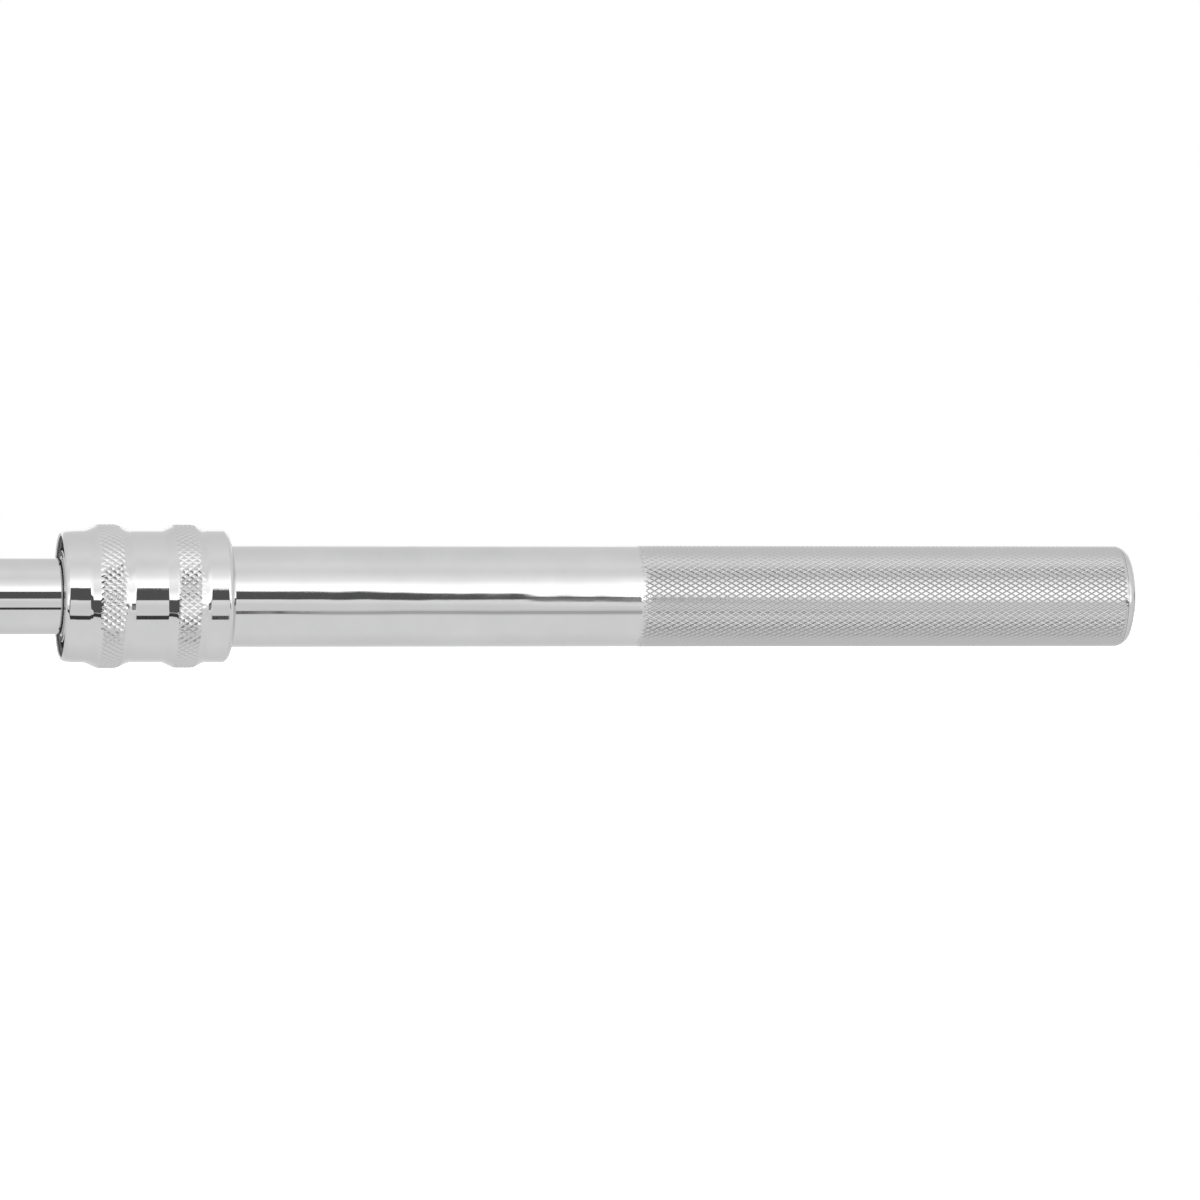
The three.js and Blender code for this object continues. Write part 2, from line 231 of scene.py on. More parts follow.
CHROME_FORGED = chrome("chrome_forged", wave=0.00005, wave_scale=90.0, wave_stretch=(1, 1, 1), haze=0.04)
TURNED = steel("turned_steel", (0.60, 0.60, 0.61), 0.22)
HARD = steel("hard_steel", (0.62, 0.62, 0.64), 0.10, grain=(1, 1, 1), grain_scale=1200.0, depth=0.0000005)
SPRING = steel("spring_wire", (0.26, 0.26, 0.27), 0.30, grain=(1, 1, 1), grain_scale=2500.0, depth=0.000002, tint=0.25)
BRONZE = steel("bearing_bronze", (0.58, 0.40, 0.17), 0.28)
OXIDE = oxide("black_oxide")
RUBBER = nitrile("nitrile")


# ------------------------------------------------------------------ mesh helpers
def new_object(name, verts, faces, mats, face_mats=None, normals=None, sharp_deg=None):
    """A mesh from millimetre points and faces (a list of tuples, or arrays of one width each)."""
    groups = faces if isinstance(faces, list) and faces and isinstance(faces[0], np.ndarray) else [
        np.array([f for f in faces if len(f) == k], int) for k in (3, 4) if any(len(f) == k for f in faces)]
    sizes = np.concatenate([np.full(len(g), g.shape[1]) for g in groups])
    loops = np.concatenate([g.ravel() for g in groups]).astype(np.int32)
    me = bpy.data.meshes.new(name)
    me.vertices.add(len(verts))
    me.vertices.foreach_set("co", (np.asarray(verts, float) * MM).astype(np.float32).ravel())
    me.loops.add(len(loops))
    me.loops.foreach_set("vertex_index", loops)
    me.polygons.add(len(sizes))
    me.polygons.foreach_set("loop_start", (np.cumsum(sizes) - sizes).astype(np.int32))
    me.polygons.foreach_set("use_smooth", np.ones(len(sizes), bool))
    for m in (mats if isinstance(mats, (list, tuple)) else [mats]):
        me.materials.append(m)
    if face_mats is not None:
        me.polygons.foreach_set("material_index", np.asarray(face_mats, np.int32))
    me.update(calc_edges=True)
    me.validate(clean_customdata=False)
    ob = bpy.data.objects.new(name, me)
    bpy.context.scene.collection.objects.link(ob)
    if sharp_deg is not None:
        me.set_sharp_from_angle(angle=math.radians(sharp_deg))
    if normals is not None:
        me.normals_split_custom_set_from_vertices(np.asarray(normals, float))
    me.update()
    return ob


def fillet(points, radii, step_deg=11.0):
    """A closed or open [x, r] outline with each corner rounded to its radius, in short chords."""
    pts = [np.array(p, float) for p in points]
    out = []
    n = len(pts)
    for i in range(n):
        p = pts[i]
        rad = radii[i]
        if rad <= 0:
            out.append(p)
            continue
        a, b = pts[(i - 1) % n], pts[(i + 1) % n]
        u, v = a - p, b - p
        lu, lv = np.linalg.norm(u), np.linalg.norm(v)
        u, v = u / lu, v / lv
        ang = math.acos(max(-1, min(1, float(u @ v))))
        if ang > math.pi - 0.02:
            out.append(p)
            continue
        t = rad / math.tan(ang / 2)
        tmax = 0.48 * min(lu, lv)
        if t > tmax:
            t = tmax
            rad = t * math.tan(ang / 2)
        centre = p + (u + v) / np.linalg.norm(u + v) * (rad / math.sin(ang / 2))
        s, e = p + u * t - centre, p + v * t - centre
        a0, a1 = math.atan2(s[1], s[0]), math.atan2(e[1], e[0])
        d = (a1 - a0 + math.pi) % (2 * math.pi) - math.pi
        k = max(2, int(math.ceil(abs(math.degrees(d)) / step_deg)))
        for j in range(k + 1):
            t2 = a0 + d * j / k
            out.append(centre + rad * np.array([math.cos(t2), math.sin(t2)]))
    return out


def revolve(name, rows, seg, mats, body, replace=(), closed=True, displace=None, row_mats=None, sharp_deg=28.0, split=None,
            groove_shade_mat=None):
    """Rows of (x, r) turned about the bar's axis. displace(x, r, theta) gives radial offsets in mm, and split(i) says
    which way each cell of row i is cut into triangles, or None where the cells stay whole. Faces that dip into a
    groove take groove_shade_mat."""
    rows = np.asarray(rows, float)
    nr = len(rows)
    th = 2 * math.pi * np.arange(seg) / seg
    verts, dips, index, total = [], [], np.full((nr, seg), -1, int), 0
    for i, (x, r) in enumerate(rows):
        if r <= 1e-6:
            index[i, :] = total
            verts.append(np.array([[x, 0.0, 0.0]]))
            dips.append(np.zeros(1))
            total += 1
            continue
        rr = np.full(seg, r)
        if displace is not None:
            rr = rr + displace(x, r, th)
        dips.append(rr - r)
        index[i] = total + np.arange(seg)
        verts.append(np.stack([np.full(seg, x), rr * np.cos(th), rr * np.sin(th)], 1))
        total += seg
    verts = np.concatenate(verts)
    tris, quads, tm, qm = [], [], [], []
    for i in range(nr if closed else nr - 1):
        k = (i + 1) % nr
        a, b = index[i], index[k]
        pa, pb = rows[i][1] <= 1e-6, rows[k][1] <= 1e-6
        if pa and pb:
            continue
        m = 0 if row_mats is None else row_mats[i]
        an, bn = np.roll(a, -1), np.roll(b, -1)
        way = split(i) if split is not None else None
        if pa:
            tris.append(np.stack([a, bn, b], 1))
        elif pb:
            tris.append(np.stack([a, an, b], 1))
        elif way is None:
            quads.append(np.stack([a, an, bn, b], 1))
            qm.append(np.full(seg, m))
            continue
        else:
            w = way
            t1 = np.where(w[:, None], np.stack([a, an, bn], 1), np.stack([a, an, b], 1))
            t2 = np.where(w[:, None], np.stack([a, bn, b], 1), np.stack([an, bn, b], 1))
            tris.extend((t1, t2))
            tm.append(np.full(seg, m))
        tm.append(np.full(seg, m))
    groups = [np.concatenate(g) for g in (tris, quads) if g]
    mat_index = np.concatenate([np.concatenate(g) for g in (tm, qm) if g])
    # faces that dip into a groove take the groove material; on the tube that is a darker chrome that paints the
    # grooves' shade
    if groove_shade_mat is not None:
        dip = np.concatenate(dips)
        deep = np.concatenate([dip[g].min(axis=1) for g in groups])
        mat_index = np.where(deep < -0.004, groove_shade_mat, mat_index)
    vol = 0.0
    for g in groups:
        p = verts[g]
        for k in range(1, g.shape[1] - 1):
            vol += float(np.einsum("ij,ij->i", p[:, 0], np.cross(p[:, k], p[:, k + 1])).sum())
    if vol < 0:                                   # outward faces enclose a positive volume
        groups = [np.ascontiguousarray(g[:, ::-1]) for g in groups]
    ob = new_object(name, verts, groups, mats, mat_index, sharp_deg=sharp_deg)
    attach(ob, body)
    if replace:
        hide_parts(*([replace] if isinstance(replace, str) else replace))
    return ob


def smax(a, b, k):
    h = np.clip(0.5 + 0.5 * (a - b) / k, 0, 1)
    return b + (a - b) * h + k * h * (1 - h)


def smin(a, b, k):
    return -smax(-a, -b, k)


def nets(f, xs, ys, zs, project=5):
    """Surface nets of f = 0 on a rectilinear grid, each vertex then moved onto the surface. Returns vertices, quads and normals."""
    X, Y, Z = np.meshgrid(xs, ys, zs, indexing="ij")
    F = f(X, Y, Z)
    del X, Y, Z
    inside = F < 0
    nx, ny, nz = F.shape
    cy, cz = ny - 1, nz - 1

    def cell(i, j, k):
        return (i * cy + j) * cz + k

    pts, cells, quads = [], [], []
    grid = (xs, ys, zs)
    for ax in range(3):
        a = [slice(None)] * 3
        b = [slice(None)] * 3
        a[ax], b[ax] = slice(None, -1), slice(1, None)
        mask = inside[tuple(a)] != inside[tuple(b)]
        i, j, k = np.nonzero(mask)
        f0 = F[tuple(a)][i, j, k]
        f1 = F[tuple(b)][i, j, k]
        t = f0 / (f0 - f1)
        p = np.stack([xs[i], ys[j], zs[k]], 1)
        idx = (i, j, k)[ax]
        g = grid[ax]
        p[:, ax] = g[idx] + t * (g[idx + 1] - g[idx])
        o1, o2 = [(1, 2), (2, 0), (0, 1)][ax]
        ijk = [i, j, k]
        quad = []
        for d1, d2 in ((-1, -1), (0, -1), (0, 0), (-1, 0)):
            c = [v.copy() for v in ijk]
            c[o1] = c[o1] + d1
            c[o2] = c[o2] + d2
            cid = cell(*c)
            quad.append(cid)
            pts.append(p)
            cells.append(cid)
        q = np.stack(quad, 1)
        out = f0 < 0
        q[~out] = q[~out][:, ::-1]
        quads.append(q)
    cells = np.concatenate(cells)
    pts = np.concatenate(pts)
    quads = np.concatenate(quads)
    ids, inv = np.unique(cells, return_inverse=True)
    cnt = np.bincount(inv)
    v = np.stack([np.bincount(inv, pts[:, c]) / cnt for c in range(3)], 1)
    quads = np.searchsorted(ids, quads)

    def grad(v, h=0.01):
        g = np.empty_like(v)
        for c in range(3):
            d = np.zeros(3)
            d[c] = h
            g[:, c] = (f(*(v + d).T) - f(*(v - d).T)) / (2 * h)
        return g

    for _ in range(project):
        g = grad(v)
        val = f(*v.T)
        step = (val / np.maximum((g * g).sum(1), 0.05))[:, None] * g
        ln = np.linalg.norm(step, axis=1)
        step *= np.minimum(1, 0.25 / np.maximum(ln, 1e-9))[:, None]
        v = v - step
    g = grad(v)
    n = g / np.maximum(np.linalg.norm(g, axis=1), 1e-9)[:, None]
    return v, quads, n


def net_piece(name, f, xs, ys, zs, mats, body, replace=(), shift=(0, 0, 0), pick=None):
    v, q, n = nets(f, xs, ys, zs)
    fm = pick(v, q) if pick is not None else None
    ob = new_object(name, v + np.array(shift, float), q, mats, fm, normals=n)
    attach(ob, body)
    if replace:
        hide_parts(*([replace] if isinstance(replace, str) else replace))
    return ob


def spaced(*parts):
    """Grid lines from (start, stop, step) runs."""
    out = []
    for a, b, s in parts:
        n = max(1, int(round((b - a) / s)))
        out.extend(list(a + (b - a) * np.arange(n + 1) / n))
    return np.unique(np.round(np.array(out), 5))


# ------------------------------------------------------------------ rolled knurls
# Two families of V grooves cross at whole numbers of p - q and p + q, where p counts teeth round and q counts
# pitches along. Six samples a pitch put a vertex on every groove's bottom and on both its edges.
STEPS = 6


def vee(a, reach=1):
    """1 at a groove's bottom, 0 from reach samples away."""
    return np.clip(1 - np.abs(a - np.round(a)) * STEPS / reach, 0, 1)


def cell_split(k, seg):
    """Which way to cut the cells between lattice rows k and k + 1, so the cut follows the nearest groove."""
    j = np.arange(seg)
    m = (j - k) % STEPS
    n = (j + k + 1) % STEPS
    m, n = np.minimum(m, STEPS - m), np.minimum(n, STEPS - n)
    return m <= n


def lattice_rows(u0, u1, pitch):
    s = pitch / STEPS
    k0, k1 = math.ceil(u0 / s), math.floor(u1 / s)
    return k0, k1, s


# ------------------------------------------------------------------ locking sleeve
RING_TEETH = 69
RING_PITCH = 2.12
RING_SEG = RING_TEETH * STEPS
RING_1, RING_2 = (9.2, 15.4), (28.2, 34.15)


def sleeve():
    outer = [
        (0.45, 15.38), (0.45, 15.5), (0.75, 15.86), (1.35, 16.24), (3.4, 16.46), (6.4, 16.53), (7.1, 16.75), (9.2, 17.75), (10.2, 17.9),
        (13.8, 17.9), (14.6, 17.72), (16.6, 16.8), (17.6, 16.45), (25.8, 16.45), (26.35, 16.72), (28.1, 17.56),
        (28.8, 17.82), (33.1, 17.82), (33.9, 17.6), (35.6, 16.72), (36.3, 16.52), (41.1, 16.52), (42.05, 15.8), (42.85, 13.2),
    ]
    rad = [0.0, 0.05, 0.4, 0.6, 5.0, 1.0, 0.8, 1.6, 1.6, 1.6, 1.2, 1.2, 0.5, 0.5, 0.8, 1.2, 1.6, 1.6, 1.2, 1.0, 0.8, 0.8, 1.4, 0.25]
    inner = [
        (42.85, 12.86), (36.0, 12.86), (36.0, 13.77), (26.5, 13.77), (18.5, 15.1), (2.1, 15.1),
        (2.1, 15.62), (1.05, 15.62), (1.05, 15.1), (0.72, 15.1),
    ]
    line = fillet(outer + inner, rad + [0.0] * len(inner), 8.0)
    held = []                                     # short rows beside each bend hold the flats flat
    for p, q in zip(line, line[1:] + line[:1]):
        held.append(p)
        length = float(np.linalg.norm(q - p))
        if length > 0.9:
            inner_pts = [0.18 / length, 0.36 / length] + list(np.linspace(0, 1, int(length / 1.5) + 2)[1:-1]) + [1 - 0.36 / length, 1 - 0.18 / length]
            held.extend(p + t * (q - p) for t in sorted(t for t in inner_pts if 0 < t < 1))
    line = np.array(held)
    crest = line[: int(np.argmax(line[:, 0] > 42.7))]        # the outside, front to back, single valued in u
    rows, lattice = [], []
    for i, p in enumerate(line):
        on_crest = i < len(crest)
        zone = next((z for z in (RING_1, RING_2) if z[0] - 0.2 < p[0] < z[1] + 0.2), None)
        if on_crest and zone is not None:
            if not any(z is zone for z, _ in lattice):
                k0, k1, s = lattice_rows(zone[0], zone[1], RING_PITCH)
                start = len(rows)
                for k in range(k0, k1 + 1):
                    rows.append((k * s, float(np.interp(k * s, crest[:, 0], crest[:, 1]))))
                lattice.append((zone, (start, len(rows) - 1, k0)))
            continue
        rows.append(tuple(p))
    rows = np.array(rows)

    def displace(x, r, th):
        u = x - MOUTH
        if r < 16.4:
            return 0.0
        p, q = th * RING_TEETH / (2 * math.pi), u / RING_PITCH
        w = [np.clip((u - z0) / 0.4, 0, 1) * np.clip((z1 - u) / 0.4, 0, 1) for z0, z1 in (RING_1, RING_2)]
        if w[0] > 0:
            return -w[0] * np.maximum(0.22 * vee(p - q, 2), 0.13 * vee(p + q, 2) - 0.02)
        if w[1] > 0:
            return -w[1] * 0.19 * np.maximum(vee(p - q, 2), vee(p + q, 2))
        return 0.0

    def split(i):
        for _, (a, b, k0) in lattice:
            if a <= i < b:
                return cell_split(k0 + i - a, RING_SEG)
        return None

    mats = [0] * len(rows)
    for _, (a, b, _k) in lattice:
        mats[a:b] = [1] * (b - a)
    return revolve("sleeve_shell", rows + np.array([MOUTH, 0.0]), RING_SEG, [CHROME_SLEEVE, CHROME_KNURL], "lock_sleeve",
                   "lock_sleeve", displace=displace, row_mats=mats, split=split, sharp_deg=12.0)


SLEEVE = sleeve()


# ------------------------------------------------------------------ tube with the rolled grip
GRIP_TEETH = 60
GRIP_PITCH = 2.315
GRIP_SEG = GRIP_TEETH * STEPS
GRIP_START, GRIP_END = 145.2, 269.95


def end_radius(u):
    """The tube's end and the plug share one round of 3.7 mm."""
    return np.where(u > 269.1, 8.97 + np.sqrt(np.maximum(3.73 ** 2 - (u - 269.1) ** 2, 0.0)), TUBE_R)


def tube():
    rows = [(26.3, 11.05), (26.3, 12.6), (26.5, 12.7), (28.2, 12.7), (28.2, 12.2), (29.9, 12.2), (29.9, 12.7), (30.5, 12.7)]
    u = 36.0
    while u < GRIP_START - 2.0:
        rows.append((u, TUBE_R))
        u += 6.0
    k0, k1, s = lattice_rows(GRIP_START - 0.8, 270.15, GRIP_PITCH)
    first = len(rows)
    for k in range(k0, k1 + 1):
        rows.append((k * s, float(end_radius(k * s))))
    last = len(rows) - 1
    rows += [(270.2, float(end_radius(270.2))), (270.2, 11.05)]
    rows = np.array(rows)

    def displace(x, r, th):
        u = x - MOUTH
        if r < 12.3 or u < GRIP_START:
            return 0.0
        p, q = th * GRIP_TEETH / (2 * math.pi), u / GRIP_PITCH
        ragged = 0.30 * np.sin(7 * th + 0.6) + 0.22 * np.sin(19 * th) + 0.15 * np.sin(43 * th + 2.0)
        w = np.clip((u - GRIP_START - 0.5 - ragged) / 0.7, 0, 1) * np.clip((GRIP_END - u) / 0.5, 0, 1)
        return -w * 0.135 * np.maximum(vee(p - q), vee(p + q))

    def split(i):
        return cell_split(k0 + i - first, GRIP_SEG) if first <= i < last else None

    # the grip's groove faces take the darker groove chrome, which is painted shade in the grooves
    return revolve("tube_shell", rows + np.array([MOUTH, 0.0]), GRIP_SEG, [CHROME_TUBE, GROOVE_SHADE_CHROME], "handle", "handle_tube",
                   displace=displace, split=split, sharp_deg=9.0, groove_shade_mat=1)


TUBE = tube()


def plug():
    # the plug's head carries the round of the tube's end on to the flat face, which has a shallow turned centre
    rows = [(257.5, 0.0), (257.5, 10.2), (258.2, 10.85), (270.27, 10.85)]
    rows += [(u, float(end_radius(u)) - 0.015) for u in np.linspace(270.27, 271.95, 10)]
    rows += [(272.1, 11.0), (272.17, 10.82), (272.195, 10.6), (272.195, 3.4), (272.05, 3.15), (271.75, 2.2), (271.55, 1.0), (271.5, 0.0)]
    return revolve("end_cap", np.array(rows) + np.array([MOUTH, 0.0]), 192, [CHROME_END], "handle", "end_plug", closed=False)


PLUG = plug()


# ------------------------------------------------------------------ nose bush, washer and snap ring
def cut(ob, cutters):
    """Takes closed cutter meshes out of ob and applies the result."""
    for c in cutters:
        mod = ob.modifiers.new("cut", "BOOLEAN")
        mod.operation = "DIFFERENCE"
        mod.solver = "EXACT"
        mod.object = c
    dg = bpy.context.evaluated_depsgraph_get()
    dg.update()
    me = bpy.data.meshes.new_from_object(ob.evaluated_get(dg))
    ob.modifiers.clear()
    old = ob.data
    ob.data = me
    me.name = old.name + "_cut"
    bpy.data.meshes.remove(old)
    bm = bmesh.new()                              # the cuts' slivers
    bm.from_mesh(me)
    bmesh.ops.remove_doubles(bm, verts=bm.verts, dist=0.000004)
    bmesh.ops.dissolve_degenerate(bm, edges=bm.edges, dist=0.000004)
    bm.to_mesh(me)
    bm.free()
    for c in cutters:
        bpy.data.objects.remove(c)


def cylinder(name, radius, depth, centre, axis, seg=48):
    bm = bmesh.new()
    bmesh.ops.create_cone(bm, cap_ends=True, segments=seg, radius1=radius * MM, radius2=radius * MM, depth=depth * MM)
    me = bpy.data.meshes.new(name)
    bm.to_mesh(me)
    bm.free()
    ob = bpy.data.objects.new(name, me)
    bpy.context.scene.collection.objects.link(ob)
    q = Vector(axis).to_track_quat("Z", "Y").to_matrix().to_4x4()
    ob.matrix_world = Matrix.Translation(Vector(centre) * MM) @ q
    bpy.context.view_layer.update()
    return ob


def bush():
    outline = [
        (0.76, 9.95), (0.76, 11.4), (14.0, 11.4), (14.0, 14.2), (16.0, 14.2),
        (16.0, 12.7), (26.0, 12.7), (26.0, 10.82), (40.0, 10.82), (40.0, 9.7),
        (6.1, 9.7), (6.1, 10.62), (4.0, 10.62), (4.0, 9.7), (1.1, 9.7),
    ]
    rad = [0.05, 0.22, 0.15, 0.2, 0.2, 0.1, 0.15, 0.1, 0.5, 0.1, 0.0, 0.0, 0.0, 0.0, 0.1]
    rows = np.array(fillet(outline, rad, 22.0)) + np.array([MOUTH, 0.0])
    ob = revolve("bush_shell", rows, 128, [TURNED], "handle", "nose_bush")
    c = [cylinder("c0", 2.66, 40, (MOUTH + 20, 0, 0), (0, 0, 1)), cylinder("c1", 2.66, 40, (MOUTH + 20, 0, 0), (0, 1, 0)),
         cylinder("c2", 1.6, 40, (MOUTH + 33.5, 0, 0), (0, 0, 1), 32)]
    cut(ob, c)
    return ob


BUSH = bush()

WASHER = revolve("washer_shell", np.array(fillet([(2.2, 11.9), (2.2, 14.9), (3.0, 14.9), (3.0, 11.9)], [0.12] * 4, 30.0)) + np.array([MOUTH, 0]),
                 128, [TURNED], "sleeve_washer", "sleeve_washer")


def snap_ring():
    mid = 1.55

    def f(x, y, z):
        r = np.hypot(y, z)
        ring = np.abs(r - 14.325) - 1.225
        gap = np.maximum(np.abs(y) - 0.6, 9.0 - z)
        for s in (-1, 1):
            a = math.pi / 2 + s * 0.165
            ly, lz = 13.1 * math.cos(a), 13.1 * math.sin(a)
            ring = smin(ring, np.hypot(y - ly, z - lz) - 1.15, 0.25)
        ring = smax(ring, -gap, 0.12)
        for s in (-1, 1):
            a = math.pi / 2 + s * 0.165
            ly, lz = 13.1 * math.cos(a), 13.1 * math.sin(a)
            ring = smax(ring, -(np.hypot(y - ly, z - lz) - 0.55), 0.1)
        return smax(ring, np.abs(x - mid) - 0.4, 0.12)

    g = spaced((-15.75, 15.75, 0.19))
    return net_piece("snap_ring", f, spaced((1.0, 2.1, 0.1)), g, g, [OXIDE], "lock_sleeve", "sleeve_snap_ring", shift=(MOUTH, 0, 0))


SNAP = snap_ring()


# ------------------------------------------------------------------ inner bar with the forged fork
U0 = MOUTH
GROOVES = [U0 + 20.0 + 38.1 * k for k in range(6)]
BAR_END = U0 + 252.0


def bar_radius(x):
    t = np.clip((x - 49.0) / 25.0, 0, 1)
    R = BAR_R + (17.0 - BAR_R) * (1 + np.cos(np.pi * t)) / 2
    for c in GROOVES:
        d = np.abs(x - c)
        arc = 11.15 - np.sqrt(np.maximum(2.65 ** 2 - d ** 2, 0.01))
        R = np.where(d < 2.3, np.minimum(R, arc), R)
    R = np.where(x > U0 + 236.0, np.minimum(R, 7.0), R)
    R = np.where((x > U0 + 248.5) & (x < U0 + 249.8), 6.2, R)
    return R


def bar_field(x, y, z):
    r = np.hypot(y, z)
    h = 0.02
    R = bar_radius(x)
    slope = np.clip((bar_radius(x + h) - bar_radius(x - h)) / (2 * h), -4, 4)
    rev = (r - R) / np.sqrt(1 + slope ** 2)
    plan = np.hypot(np.minimum(x - PIVOT, 0), y) - 12.5
    body = smax(smax(rev, plan, 1.4), np.abs(z) - 15.0, 1.0)
    slot = smax(np.abs(z) - 6.75, x - (TIP + 45.0), 0.9)
    body = smax(body, -slot, 0.7)
    pin = np.hypot(x - PIVOT, y)
    body = smax(body, -(pin - 4.09), 0.35)
    bore = np.maximum(r - 3.15, x - (TIP + 62.0))
    body = np.where(x < TIP + 66.0, smax(body, -bore, 0.25), body)
    return smax(body, x - BAR_END, 0.8)


def bar():
    parts = [(TIP + 19.8, TIP + 78.0, 0.36), (TIP + 78.0, GROOVES[0] - 6, 9.0)]
    for k, c in enumerate(GROOVES):
        parts.append((c - 3.0, c + 3.0, 0.3))
        if k + 1 < len(GROOVES):
            parts.append((c + 3.0, GROOVES[k + 1] - 3.0, 6.0))
    parts += [(GROOVES[-1] + 3, U0 + 234, 6.0), (U0 + 234, BAR_END + 0.6, 0.4)]
    xs = spaced(*parts)
    gy = spaced((-13.2, 13.2, 0.36))
    gz = spaced((-15.6, 15.6, 0.36))
    return net_piece("bar_forging", bar_field, xs, gy, gz, [CHROME_FORGED, CHROME_BAR], "bar", "extension_bar",
                     pick=lambda v, q: (v[q].mean(1)[:, 0] > TIP + 72.0).astype(int))


BAR = bar()

PIN_ROWS = [(-14.72, 0.0), (-14.70, 2.2), (-14.5, 3.3), (-14.1, 3.9), (-13.6, 4.0), (13.6, 4.0), (14.1, 3.9), (14.5, 3.3), (14.70, 2.2), (14.72, 0.0)]


def pin():
    th = 2 * math.pi * np.arange(96) / 96
    verts, faces = [(PIVOT, 0, -14.69)], []
    ring0 = []
    for zz, rr in PIN_ROWS[1:-1]:
        ring0.append(len(verts))
        verts.extend((PIVOT + rr * math.cos(t), rr * math.sin(t), max(-14.69, min(14.69, zz))) for t in th)
    top = len(verts)
    verts.append((PIVOT, 0, 14.69))
    for a, b in zip(ring0[:-1], ring0[1:]):
        for j in range(96):
            k = (j + 1) % 96
            faces.append((a + j, a + k, b + k, b + j))
    for j in range(96):
        k = (j + 1) % 96
        faces.append((0, ring0[0] + k, ring0[0] + j))
        faces.append((top, ring0[-1] + j, ring0[-1] + k))
    ob = new_object("pivot_pin", verts, faces, HARD)
    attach(ob, "bar")
    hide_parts("head_pin")
    return ob


PIN = pin()


# ------------------------------------------------------------------ drive head
def head_field(x, y, z):
    x = x - TIP
    q1, q2 = np.abs(y) - (6.35 - 1.0), np.abs(z) - (6.35 - 1.0)
    sq = np.hypot(np.maximum(q1, 0), np.maximum(q2, 0)) + np.minimum(np.maximum(q1, q2), 0) - 1.0
    taper = 0.9 * np.clip((1.3 - x) / 1.3, 0, 1) ** 1.5
    square = smax(smax(sq + taper, -x, 0.3), x - 18.0, 0.3)
    r = np.hypot(y, z)
    collar = smax(smax(r - 10.5, 15.3 - x, 1.2), x - 19.0, 0.9)
    tongue = smax(np.hypot(np.maximum(x - 33.0, 0), y) - 11.0, np.abs(z) - 6.4, 0.8)
    tongue = smax(tongue, 17.0 - x, 0.3)
    tongue = smax(tongue, np.where(x < 22.0, r - 10.9, -5.0), 0.4)
    body = smin(smin(square, collar, 1.1), tongue, 0.9)
    pinr = np.hypot(x - 33.0, y)
    body = smax(body, -(pinr - 4.09), 0.3)
    hole = np.hypot(x - 7.0, z)
    bore = np.maximum(hole - 2.45, y - 3.6)
    body = smax(body, -bore, 0.18)
    # the staked ring that keeps the ball in
    stake = np.hypot(hole - 3.17, y + 6.37) - 0.34
    return smax(body, -stake, 0.12)


HEAD = net_piece("head_forging", head_field, spaced((TIP - 0.3, TIP + 12.0, 0.17), (TIP + 12.0, TIP + 44.4, 0.25)), spaced((-11.3, 11.3, 0.2)),
                 spaced((-10.8, 10.8, 0.2)), [CHROME_FORGED], "drive_head", "drive_head")


def sphere(name, centre, radius, mat, body, node, poles=(0, 0, 1)):
    bm = bmesh.new()
    bmesh.ops.create_icosphere(bm, subdivisions=4, radius=radius * MM)
    me = bpy.data.meshes.new(name)
    bm.to_mesh(me)
    bm.free()
    me.materials.append(mat)
    me.polygons.foreach_set("use_smooth", [True] * len(me.polygons))
    ob = bpy.data.objects.new(name, me)
    bpy.context.scene.collection.objects.link(ob)
    ob.location = Vector(centre) * MM
    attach(ob, body)
    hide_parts(node)
    return ob


def centre_of(node):
    a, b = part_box(node)
    return (a + b) / 2 / MM


DETENT = sphere("detent_ball", centre_of("drive_detent_ball"), 2.36, HARD, "drive_detent_ball", "drive_detent_ball")
FRICTION = sphere("friction_ball", centre_of("head_friction_ball"), 2.98, HARD, "bar", "head_friction_ball")
for _k in range(1, 5):
    sphere(f"cage_ball_{_k}", centre_of(f"lock_ball_{_k}"), 2.48, HARD, f"lock_ball_{_k}", f"lock_ball_{_k}")


